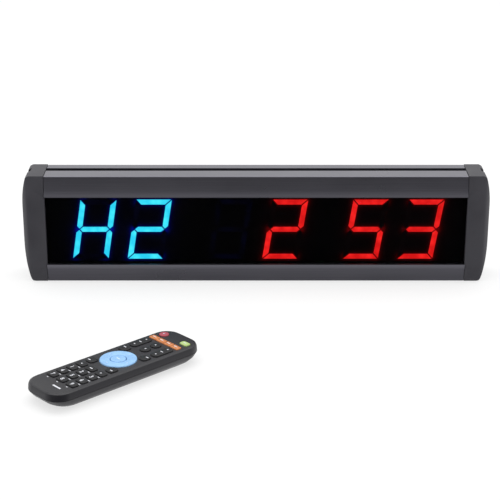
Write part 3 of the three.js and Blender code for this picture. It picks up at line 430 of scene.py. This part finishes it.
def all_materials():
    """Every material of the object, by the record's slot names and a few names of the details."""
    plastic = moulded_plastic
    return {
        "anodised_rail": anodised_metal(),
        "cap_plastic": plastic(
            "cap_plastic", CAP_DARK, CAP_LIGHT, 0.45 * MM, 0.03 * MM, 0.5
        ),
        "screw_black": blackened_steel(),
        "smoked_window": smoked_acrylic(),
        "cover_black": plastic(
            "cover_black", rgb(30, 30, 33), rgb(42, 42, 46), 0.7 * MM, 0.05 * MM, 0.5, 0.2
        ),
        "circuit_board": circuit_board(),
        "module_black": plastic("module_black", rgb(8, 8, 11), rgb(16, 16, 20), MM, 0.02 * MM, 0.6),
        "lens_blue": lit_bar("lens_blue", BLUE_LIGHT, BLUE_DIM),
        "lens_red": lit_bar("lens_red", RED_LIGHT, RED_DIM),
        "unlit_blue": unlit_bar("unlit_blue", BLUE_UNLIT_TINT_AND_GLOW),
        "unlit_red": unlit_bar("unlit_red", RED_UNLIT_TINT_AND_GLOW),
        "display_film": display_film(),
        "component_black": plastic(
            "component_black", rgb(14, 14, 16), rgb(26, 26, 29), 0.5 * MM, 0.02 * MM, 0.4
        ),
        "handset_black": plastic(
            "handset_black", rgb(21, 20, 26), rgb(28, 27, 34), 0.3 * MM, 0.02 * MM, 0.42
        ),
        "gloss_black": plastic(
            "gloss_black", rgb(6, 6, 8), rgb(12, 12, 15), 6 * MM, 0.01 * MM, 0.14
        ),
        "led_clear": clear_epoxy(),
        "cell_wrap": cell_wrap(),
        "key_black": silicone("key_black", rgb(17, 17, 19), rgb(26, 26, 29)),
        "key_red": silicone("key_red", rgb(158, 66, 80), rgb(178, 82, 96)),
        "key_green": silicone("key_green", rgb(164, 190, 112), rgb(182, 206, 132)),
        "key_orange": silicone("key_orange", rgb(206, 128, 76), rgb(222, 146, 94)),
        "key_blue": silicone("key_blue", rgb(138, 182, 226), rgb(154, 198, 240)),
        "ink_white": printed_ink("ink_white", LABEL_WHITE, LABEL_GREY),
        "ink_pale": printed_ink("ink_pale", rgb(206, 226, 248), rgb(170, 204, 240)),
    }


MATERIALS = all_materials()


# ---------------------------------------------------------------- meshes
def smooth_by_angle():
    """A geometry node group that shades a mesh smooth, except over edges sharper than an angle."""
    tree = bpy.data.node_groups.new("smooth_by_angle", "GeometryNodeTree")
    for direction in ("INPUT", "OUTPUT"):
        tree.interface.new_socket("Geometry", in_out=direction, socket_type="NodeSocketGeometry")
    start = tree.nodes.new("NodeGroupInput")
    faces = tree.nodes.new("GeometryNodeSetShadeSmooth")
    edges = tree.nodes.new("GeometryNodeSetShadeSmooth")
    edges.domain = "EDGE"
    angle = tree.nodes.new("GeometryNodeInputMeshEdgeAngle")
    compare = tree.nodes.new("FunctionNodeCompare")
    compare.operation = "LESS_THAN"
    compare.inputs[1].default_value = SMOOTH_BELOW
    end = tree.nodes.new("NodeGroupOutput")
    tree.links.new(start.outputs[0], faces.inputs["Geometry"])
    tree.links.new(faces.outputs[0], edges.inputs["Geometry"])
    tree.links.new(angle.outputs[0], compare.inputs[0])
    tree.links.new(compare.outputs[0], edges.inputs["Shade Smooth"])
    tree.links.new(edges.outputs[0], end.inputs[0])
    return tree


SMOOTHING = smooth_by_angle()


def refine(node, material, edge=0.0):
    """Gives a CAD node its material, rounds its sharp edges if asked, and shades it smooth."""
    piece = NODES[node]
    piece.data.materials.clear()
    piece.data.materials.append(MATERIALS[material])
    weld = piece.modifiers.new("weld", "WELD")
    weld.merge_threshold = WELD
    if edge:
        flats = piece.modifiers.new("flats", "DECIMATE")
        flats.decimate_type = "DISSOLVE"
        flats.angle_limit = FLAT_WITHIN
        bevel = piece.modifiers.new("edges", "BEVEL")
        bevel.width = edge
        bevel.segments = EDGE_STEPS
        bevel.limit_method = "ANGLE"
        bevel.angle_limit = SHARP_ABOVE
    smooth = piece.modifiers.new("smooth", "NODES")
    smooth.node_group = SMOOTHING
    level = piece.modifiers.new("level", "WEIGHTED_NORMAL")
    level.keep_sharp = True
    return piece


def make_piece(name, mesh, materials, body):
    """Turns a bmesh into a piece that rides on a body and takes its finish from a slot."""
    bmesh.ops.recalc_face_normals(mesh, faces=mesh.faces)
    data = bpy.data.meshes.new(name)
    mesh.to_mesh(data)
    mesh.free()
    data.shade_smooth()
    data.set_sharp_from_angle(angle=SHARP_ABOVE)
    for material in materials:
        data.materials.append(MATERIALS[material])
    piece = bpy.data.objects.new(name, data)
    bpy.context.scene.collection.objects.link(piece)
    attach(piece, body)
    return piece


def middle(node):
    """The middle of a node's box."""
    low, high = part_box(node)
    return (low + high) / 2


def flat_outlines(node, is_flat):
    """The outlines of a node's flat faces whose corners all pass a test, and whether each faces +Z."""
    mesh = bmesh.new()
    mesh.from_mesh(NODES[node].data)
    bmesh.ops.remove_doubles(mesh, verts=mesh.verts, dist=WELD)
    flat = [face for face in mesh.faces if all(is_flat(corner.co) for corner in face.verts)]
    merged = bmesh.ops.dissolve_faces(mesh, faces=flat)["region"]
    outlines = [([corner.co.copy() for corner in face.verts], face.normal.z > 0) for face in merged]
    mesh.free()
    return outlines


def loft(mesh, rings, material=0):
    """Skins outlines that have the same number of points, and closes the first and the last."""
    loops = [[mesh.verts.new(point) for point in ring] for ring in rings]
    count = len(loops[0])
    for low, high in zip(loops, loops[1:]):
        for i in range(count):
            j = (i + 1) % count
            mesh.faces.new((low[i], low[j], high[j], high[i])).material_index = material
    mesh.faces.new(loops[0][::-1]).material_index = material
    mesh.faces.new(loops[-1]).material_index = material


def drawn_in(outline, distance):
    """An anticlockwise outline in XY, drawn in by the same distance on every side."""
    count = len(outline)
    moved = []
    for i in range(count):
        here = outline[i]
        before = (here - outline[i - 1]).normalized()
        after = (outline[(i + 1) % count] - here).normalized()
        mitre = (Vector((-before.y, before.x)) + Vector((-after.y, after.x))).normalized()
        reach = distance / max(mitre.dot(Vector((-after.y, after.x))), TIGHTEST_MITRE)
        moved.append(here + mitre * reach)
    return moved


def at_height(outline, z):
    """An outline in XY as points in space, at one height."""
    return [(point.x, point.y, z) for point in outline]


def round_outline(centre, radius, sides):
    """A circle in XY, as a polygon."""
    angles = [2 * math.pi * i / sides for i in range(sides)]
    return [Vector((centre.x + radius * math.cos(a), centre.y + radius * math.sin(a))) for a in angles]


def rounding(edge):
    """The steps of a rounded rim, as distances in from its side and down from its top."""
    angles = [math.pi / 2 * step / KEY_EDGE_STEPS for step in range(1, KEY_EDGE_STEPS + 1)]
    return [(edge * (1 - math.cos(angle)), edge * (1 - math.sin(angle))) for angle in angles]


def crowned(mesh, outline, foot, top, edge=KEY_EDGE, crown=KEY_CROWN):
    """A soft key: straight sides, a rounded rim, and a flat top that lies a little above the rim."""
    rim = top - crown
    rings = [at_height(outline, foot), at_height(outline, rim - edge)]
    for inset, drop in rounding(edge):
        rings.append(at_height(drawn_in(outline, inset), rim - drop))
    rings.append(at_height(drawn_in(outline, edge * CROWN_INSET), top - crown * CROWN_SHARE))
    loft(mesh, rings)


# ---------------------------------------------------------------- display
def dress_case():
    """The rails, the end caps with their screws, the window and the back cover."""
    for rail in ("top_rail", "bottom_rail"):
        refine(rail, "anodised_rail", RAIL_EDGE)
    for side in ("left", "right"):
        refine(f"{side}_end_cap", "cap_plastic", CAP_EDGE)
        for level in ("top", "bottom"):
            refine(f"cap_screw_{level}_{side}", "screw_black", SCREW_EDGE)
    refine("front_window", "smoked_window", WINDOW_EDGE)
    refine("back_cover", "cover_black", COVER_EDGE)


def dress_works():
    """What the display holds: its board, modules, receiver, buzzer and power socket."""
    refine("power_socket", "component_black", COMPONENT_EDGE)
    refine("display_board", "circuit_board", BOARD_EDGE)
    refine("buzzer", "component_black", COMPONENT_EDGE)
    refine("remote_receiver", "component_black")
    for place in ("left", "middle", "right"):
        refine(f"digit_module_{place}", "module_black")


# ---------------------------------------------------------------- digits
def bar_lines():
    """The middle line of each bar of an upright digit, as two points in X and Z."""
    x = (DIGIT_WIDTH - STROKE) / 2
    z = (DIGIT_HEIGHT - STROKE) / 2
    corners = {
        "a": ((-x, z), (x, z)),
        "b": ((x, 0), (x, z)),
        "c": ((x, -z), (x, 0)),
        "d": ((-x, -z), (x, -z)),
        "e": ((-x, -z), (-x, 0)),
        "f": ((-x, 0), (-x, z)),
        "g": ((-x, 0), (x, 0)),
    }
    return {bar: (Vector(start), Vector(end)) for bar, (start, end) in corners.items()}


BAR_LINES = bar_lines()


def upright(point, centre):
    """A point on the display's front, in a digit's own X and Z with its slant taken out."""
    rise = point.z - centre.z
    return Vector((point.x - centre.x - rise * SLANT, rise))


def distance_to(point, line):
    """Distance in X and Z from a point to a bar's middle line, ends included."""
    start, end = line
    along = end - start
    share = max(0, min(1, (point - start).dot(along) / along.length_squared))
    return (point - start - along * share).length


def dress_digit(number):
    """Gives each bar of a digit's lens its lit or unlit material."""
    node = f"digit_lens_{number}"
    hue = "blue" if number <= LAST_BLUE_DIGIT else "red"
    piece = refine(node, f"unlit_{hue}")
    piece.data.materials.append(MATERIALS[f"lens_{hue}"])
    centre = middle(node)
    for face in piece.data.polygons:
        point = upright(face.center, centre)
        nearest = min(BAR_LINES, key=lambda bar: distance_to(point, BAR_LINES[bar]))
        face.material_index = int(nearest in LIT_BARS[number])


def front_outlines(node):
    """The outlines in X and Z of the flat faces at the very front of a node."""
    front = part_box(node)[0].y
    found = flat_outlines(node, lambda corner: abs(corner.y - front) < FLAT_BAND)
    return [[Vector((corner.x, corner.z)) for corner in outline] for outline, _ in found]


def halo_colours(points):
    """The glow painted on the mask round the lit bars at each point, standing for the light they
    throw.
    """
    colours = np.zeros((len(points), 4), np.float32)
    colours[:, 3] = 1
    for number in LIT_BARS:
        centre = middle(f"digit_lens_{number}")
        hue = np.array(BLUE_PAINTED_GLOW if number <= LAST_BLUE_DIGIT else RED_PAINTED_GLOW)[:3]
        rise = points[:, 2] - centre.z
        flat = np.stack([points[:, 0] - centre.x - rise * SLANT, rise], axis=1)
        for bar in LIT_BARS[number]:
            start, end = (np.array(point) for point in BAR_LINES[bar])
            along = end - start
            share = np.clip((flat - start) @ along / (along @ along), 0, 1)
            away = np.linalg.norm(flat - start - share[:, None] * along, axis=1) - STROKE / 2
            away = np.maximum(away, 0)
            light = NEAR_SHARE * np.exp(-away / GLOW_NEAR) + FAR_SHARE * np.exp(-away / GLOW_FAR)
            colours[:, :3] += light[:, None] * hue
    return colours


def grid_points(low, high):
    """A grid of points over the mask, in X and Z."""
    columns = round((high.x - low.x) / FILM_PITCH)
    rows = round((high.y - low.y) / FILM_PITCH)
    steps = [(i / columns, j / rows) for i in range(columns + 1) for j in range(rows + 1)]
    return [Vector((low.x + (high.x - low.x) * i, low.y + (high.y - low.y) * j)) for i, j in steps]


def stepped(outline):
    """An outline with points added along its longer edges."""
    points = []
    for here, after in zip(outline, outline[1:] + outline[:1]):
        steps = max(1, round((after - here).length / OUTLINE_STEP))
        points += [here.lerp(after, i / steps) for i in range(steps)]
    return points


def inside(point, outline):
    """True where a ray from a point to +X crosses a closed outline an odd number of times."""
    crossings = 0
    for a, b in zip(outline, outline[1:] + outline[:1]):
        if (a.y > point.y) != (b.y > point.y):
            crossings += point.x < a.x + (point.y - a.y) / (b.y - a.y) * (b.x - a.x)
    return crossings % 2 == 1


def pierced_sheet(low, high, holes):
    """Points and triangles, in X and Z, of a sheet with a hole for each of some outlines."""
    points = grid_points(low, high)
    edges = []
    for outline in map(stepped, holes):
        first = len(points)
        count = len(outline)
        points += outline
        edges += [(first + i, first + (i + 1) % count) for i in range(count)]
    flat, _, triangles, _, _, _ = delaunay_2d_cdt(points, edges, [], 0, MESH_EXACTNESS)
    spans = [(min(p.x for p in hole), max(p.x for p in hole), hole) for hole in holes]

    def pierced(triangle):
        place = (flat[triangle[0]] + flat[triangle[1]] + flat[triangle[2]]) / 3
        return any(left < place.x < right and inside(place, hole) for left, right, hole in spans)

    return flat, [triangle for triangle in triangles if not pierced(triangle)]


def mask_film():
    """A thin black mask behind the whole window, with a hole over each bar of the six digits."""
    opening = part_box("top_rail")[0].z - FILM_EDGE
    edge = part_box("left_end_cap")[1].x + FILM_EDGE
    low = Vector((edge, CAD_HIGH.z - opening))
    high = Vector((-edge, opening))
    holes = []
    for number in LIT_BARS:
        holes += front_outlines(f"digit_lens_{number}")
    flat, triangles = pierced_sheet(low, high, holes)
    back_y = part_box("digit_module_left")[0].y - FILM_GAP
    mesh = bmesh.new()
    back = [mesh.verts.new((point.x, back_y, point.y)) for point in flat]
    front = [mesh.verts.new((point.x, back_y - FILM_THICK, point.y)) for point in flat]
    sides = set()
    for a, b, c in triangles:
        mesh.faces.new((front[a], front[b], front[c]))
        mesh.faces.new((back[c], back[b], back[a]))
        sides.update(((a, b), (b, c), (c, a)))
    for a, b in sides:
        if (b, a) not in sides:
            mesh.faces.new((front[b], front[a], back[a], back[b]))
    loose = [vertex for vertex in mesh.verts if not vertex.link_faces]
    bmesh.ops.delete(mesh, geom=loose, context="VERTS")
    film = make_piece("mask_film", mesh, ["display_film"], "display")
    places = np.array([vertex.co for vertex in film.data.vertices])
    # Stores the painted glow round the lit bars on the mask's points.
    painted_halo = film.data.attributes.new("painted_halo", "FLOAT_COLOR", "POINT")
    painted_halo.data.foreach_set("color", halo_colours(places).ravel())


# ---------------------------------------------------------------- handset
def handset_axes():
    """The handset's directions in plan: towards its top end, and to its right."""
    along = (middle("page_up_key") - middle("page_down_key")).to_2d().normalized()
    return along, Vector((along.y, -along.x))


TOP_WAY, RIGHT_WAY = handset_axes()


def plan_point(centre, right, up):
    """A point in plan, so far to the right of a centre and so far towards the handset's top end."""
    return centre.to_2d() + RIGHT_WAY * right + TOP_WAY * up


def top_outline(node):
    """The outline in plan of a node's flat top, anticlockwise."""
    top = max(vertex.co.z for vertex in NODES[node].data.vertices)
    corners, turning_left = flat_outlines(node, lambda corner: corner.z > top - FLAT_BAND)[0]
    outline = [Vector((corner.x, corner.y)) for corner in corners]
    return outline if turning_left else outline[::-1]


def bar_mark(width, height):
    """A bar's outline round its own middle, in steps to the right and towards the top end."""
    x = width / 2
    y = height / 2
    return [(-x, -y), (x, -y), (x, y), (-x, y)]


def arrow_mark(size, way):
    """The outline of a triangle that points up, down, left or right, like a bar mark's."""
    half = size / 2
    points = [(-half, -half * ARROW_RISE), (half, -half * ARROW_RISE), (0, half * ARROW_RISE)]
    turns = {"up": 0, "left": 1, "down": 2, "right": 3}[way]
    for _ in range(turns):
        points = [(-y, x) for x, y in points]
    return points


def print_mark(mesh, outline, centre, top, material, right=0.0, up=0.0):
    """Prints an outline on a surface at a height, as a thin solid sunk a little into it."""
    flat = [plan_point(centre, right + x, up + y) for x, y in outline]
    rings = [at_height(flat, top - PRINT_SUNK), at_height(flat, top + PRINT_THICK)]
    loft(mesh, rings, material)


def print_numeral(mesh, text, centre, top, material):
    """Prints a numeral on a surface at a height, with its middle at a centre."""
    curve = bpy.data.curves.new("numeral", "FONT")
    curve.body = text
    curve.size = NUMERAL_SIZE
    curve.extrude = (PRINT_THICK + PRINT_SUNK) / 2
    curve.offset = NUMERAL_WEIGHT
    holder = bpy.data.objects.new("numeral", curve)
    data = bpy.data.meshes.new_from_object(holder)
    xs = [vertex.co.x for vertex in data.vertices]
    ys = [vertex.co.y for vertex in data.vertices]
    middle_x = (min(xs) + max(xs)) / 2
    middle_y = (min(ys) + max(ys)) / 2
    level = top + (PRINT_THICK - PRINT_SUNK) / 2
    for vertex in data.vertices:
        place = plan_point(centre, vertex.co.x - middle_x, vertex.co.y - middle_y)
        vertex.co = (place.x, place.y, level + vertex.co.z)
    first = len(mesh.faces)
    mesh.from_mesh(data)
    mesh.faces.ensure_lookup_table()
    for face in mesh.faces[first:]:
        face.material_index = material
    bpy.data.objects.remove(holder)
    bpy.data.meshes.remove(data)
    bpy.data.curves.remove(curve)


def key_piece(node, slot, marks=(), numeral=None, ink="ink_white"):
    """A soft key with its printed marks, in place of its CAD solid."""
    mesh = bmesh.new()
    low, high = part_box(node)
    crowned(mesh, top_outline(node), low.z, high.z)
    surface = high.z - KEY_CROWN * CROWN_SHARE
    for outline, right, up in marks:
        print_mark(mesh, outline, middle(node), surface, INK, right, up)
    if numeral:
        print_numeral(mesh, numeral, middle(node), surface, INK)
    piece = make_piece(f"{node}_cap", mesh, [slot, ink], node)
    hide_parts(node)


def ring_piece():
    """The direction ring: a turned ring with a soft outer rim, a dished face and four arrows."""
    low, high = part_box("direction_ring")
    centre = middle("direction_ring")
    inner = (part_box("ok_key")[1].x - middle("ok_key").x) + RING_BORE_GAP
    outer = (high.x - low.x) / 2 - RING_SIDE_GAP
    top = high.z
    rim = top - RING_RIM_DROP
    profile = [(inner, low.z), (outer, low.z), (outer, rim - RING_EDGE)]
    profile += [(outer - inset, rim - drop) for inset, drop in rounding(RING_EDGE)]
    profile.append((outer - RING_BAND, top))
    profile += [(inner + out, top - drop) for out, drop in RING_DISH]
    mesh = bmesh.new()
    loops = [
        [mesh.verts.new((point.x, point.y, z)) for point in round_outline(centre, radius, RING_SIDES)]
        for radius, z in profile
    ]
    for near, far in zip(loops, loops[1:] + loops[:1]):
        for i in range(RING_SIDES):
            j = (i + 1) % RING_SIDES
            mesh.faces.new((near[i], near[j], far[j], far[i]))
    reach = (inner + outer) / 2 + RING_ARROW_SHIFT
    surface = top - RING_PRINT_DROP
    for way, right, up in (("up", 0, 1), ("down", 0, -1), ("left", -1, 0), ("right", 1, 0)):
        arrow = arrow_mark(RING_ARROW, way)
        print_mark(mesh, arrow, centre, surface, INK, right * reach, up * reach)
    inks = ["key_blue", "ink_white"]
    piece = make_piece("direction_ring_cap", mesh, inks, "direction_ring")
    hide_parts("direction_ring")


def ok_piece():
    """The centre key, a round soft key that stands in the ring."""
    low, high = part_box("ok_key")
    centre = middle("ok_key")
    mesh = bmesh.new()
    outline = round_outline(centre, (high.x - low.x) / 2, BUTTON_SIDES)
    crowned(mesh, outline, low.z, high.z, OK_EDGE, OK_CROWN)
    print_mark(mesh, bar_mark(*OK_BAR), centre, high.z - OK_PRINT_DROP, INK)
    piece = make_piece("ok_key_cap", mesh, ["key_blue", "ink_pale"], "ok_key")
    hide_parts("ok_key")


def number_keys():
    """The nine numbered keys, and the row of three function keys that belongs to them."""
    for number in NUMBER_KEYS:
        key_piece(f"number_key_{number}", "key_black", numeral=str(number))
    symbols = [
        arrow_mark(FUNCTION_ARROW, "left"),
        bar_mark(*FUNCTION_BAR),
        arrow_mark(FUNCTION_ARROW, "right"),
    ]
    for column, symbol in enumerate(symbols, 1):
        key_piece(f"function_key_{column}", "key_black", [(symbol, 0, 0)])


def rocker_keys():
    """The two rockers, each with an arrow at both ends and a bar at its middle."""
    marks = [
        (arrow_mark(ROCKER_ARROW, "up"), 0, ROCKER_REACH),
        (arrow_mark(ROCKER_ARROW, "down"), 0, -ROCKER_REACH),
        (bar_mark(*ROCKER_BAR), 0, 0),
    ]
    for name in ("volume_rocker", "channel_rocker"):
        key_piece(name, "key_black", marks)


def other_keys():
    """The power, green, page and orange keys, and the four keys round the ring."""
    key_piece("power_key", "key_red", [(bar_mark(*POWER_BAR), 0, 0)], ink="ink_pale")
    key_piece("green_key", "key_green", [(bar_mark(*GREEN_BAR), 0, 0)])
    for way in ("up", "down"):
        key_piece(f"page_{way}_key", "key_black", [(arrow_mark(PAGE_ARROW, way), 0, 0)])
    for number in ORANGE_KEYS:
        key_piece(f"orange_key_{number}", "key_orange", [(bar_mark(*ORANGE_BAR), 0, 0)])
    for end, up in (("upper", CORNER_SHIFT), ("lower", -CORNER_SHIFT)):
        for side, right in (("left", -CORNER_SHIFT), ("right", CORNER_SHIFT)):
            key_piece(f"{end}_{side}_key", "key_black", [(bar_mark(*CORNER_BAR), right, up)])


def deck_prints():
    """Plain marks on the deck: above each number key, below the last row, and one at the end."""
    mesh = bmesh.new()
    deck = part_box("handset_front_shell")[1].z
    marks = [(DECK_BAR, DECK_BAR_PLACE, number) for number in NUMBER_KEYS]
    marks += [(FOOT_BAR, FOOT_BAR_PLACE, number) for number in LAST_NUMBER_ROW]
    marks.append((END_BAR, END_BAR_PLACE, END_BAR_KEY))
    for bar, place, number in marks:
        print_mark(mesh, bar_mark(*bar), middle(f"number_key_{number}"), deck, 0, *place)
    make_piece("deck_prints", mesh, ["ink_white"], "handset")


def dress_handset():
    """The shells, the battery cover, what they hold, and all the keys and printing."""
    for shell in ("handset_rear_shell", "handset_front_shell", "battery_cover"):
        refine(shell, "handset_black")
    refine("handset_ir_window", "gloss_black")
    refine("keypad_board", "circuit_board")
    refine("ir_emitter", "led_clear")
    for side in ("left", "right"):
        refine(f"battery_{side}", "cell_wrap")
    ring_piece()
    ok_piece()
    number_keys()
    rocker_keys()
    other_keys()
    deck_prints()


# ---------------------------------------------------------------- studio
def add_floor():
    """A pale table, lit a little from within so that shadows on it stay faint."""
    mesh = bmesh.new()
    signs = [(-1, -1), (1, -1), (1, 1), (-1, 1)]
    mesh.faces.new([mesh.verts.new((x * FLOOR_HALF, y * FLOOR_HALF, 0)) for x, y in signs])
    data = bpy.data.meshes.new("studio_floor")
    mesh.to_mesh(data)
    mesh.free()
    paint = Paint("studio_floor", specular=0.1)
    clouds = paint.grain((FLOOR_CLOUD, FLOOR_CLOUD, FLOOR_CLOUD))
    paint.colour(paint.mixed(clouds, FLOOR_DARK, FLOOR_LIGHT))
    paint.glow(WHITE, FLOOR_GLOW)
    paint.roughness(0.9)
    data.materials.append(paint.data)
    floor = bpy.data.objects.new("studio_floor", data)
    bpy.context.scene.collection.objects.link(floor)
    floor.visible_glossy = False


def add_world():
    """A white surround with a dark card ahead of the display, which only reflections see.

    The card is darkest low down. The surround's own sampling is off, because the card depends on
    the kind of ray that finds it.
    """
    world = bpy.data.worlds.new("studio")
    bpy.context.scene.world = world
    world.use_nodes = True
    world.cycles.sampling_method = "NONE"
    tree = world.node_tree
    parts = tree.nodes.new("ShaderNodeSeparateXYZ")
    tree.links.new(tree.nodes.new("ShaderNodeTexCoord").outputs["Generated"], parts.inputs["Vector"])

    def sloped(value, start, end, low, high):
        node = tree.nodes.new("ShaderNodeMapRange")
        tree.links.new(value, node.inputs["Value"])
        for name, bound in zip(("From Min", "From Max", "To Min", "To Max"), (start, end, low, high)):
            node.inputs[name].default_value = bound
        return node.outputs["Result"]

    def computed(operation, *values):
        node = tree.nodes.new("ShaderNodeMath")
        node.operation = operation
        for socket, value in zip(node.inputs, values):
            tree.links.new(value, socket)
        return node.outputs[0]

    ahead = sloped(parts.outputs["Y"], *CARD_AHEAD)
    low = sloped(parts.outputs["Z"], *CARD_HEIGHT)
    side = sloped(computed("ABSOLUTE", parts.outputs["X"]), *CARD_SIDE)
    mirrored = tree.nodes.new("ShaderNodeLightPath").outputs["Is Glossy Ray"]
    card = computed("MULTIPLY", computed("MULTIPLY", ahead, low), computed("MULTIPLY", side, mirrored))
    background = tree.nodes["Background"]
    background.inputs["Color"].default_value = WHITE
    tree.links.new(sloped(card, 0, 1, WORLD_LIGHT, 0), background.inputs["Strength"])


def add_light():
    """One wide soft light overhead, aimed at the middle of the object's box."""
    light = bpy.data.lights.new("overhead", "AREA")
    light.shape = "RECTANGLE"
    light.size, light.size_y = LIGHT_SIZE
    light.energy = LIGHT_POWER
    holder = bpy.data.objects.new("overhead", light)
    bpy.context.scene.collection.objects.link(holder)
    holder.location = LIGHT_PLACE
    centre = (CAD_LOW + CAD_HIGH) / 2
    holder.rotation_euler = (centre - LIGHT_PLACE).to_track_quat("-Z", "Y").to_euler()
    holder.visible_camera = False


def add_camera():
    """The camera, level from side to side and pitched down at the object."""
    camera = bpy.data.cameras.new("camera")
    camera.lens = CAMERA_LENS
    camera.clip_start = CAMERA_NEAR
    camera.clip_end = CAMERA_FAR
    holder = bpy.data.objects.new("camera", camera)
    bpy.context.scene.collection.objects.link(holder)
    holder.location = CAMERA_PLACE
    holder.rotation_euler = (CAMERA_PITCH, 0, 0)
    bpy.context.scene.camera = holder


add_camera()
add_world()
add_floor()
add_light()
dress_case()
dress_works()
for digit in LIT_BARS:
    dress_digit(digit)
mask_film()
dress_handset()

bpy.context.scene.view_settings.view_transform = "Standard"
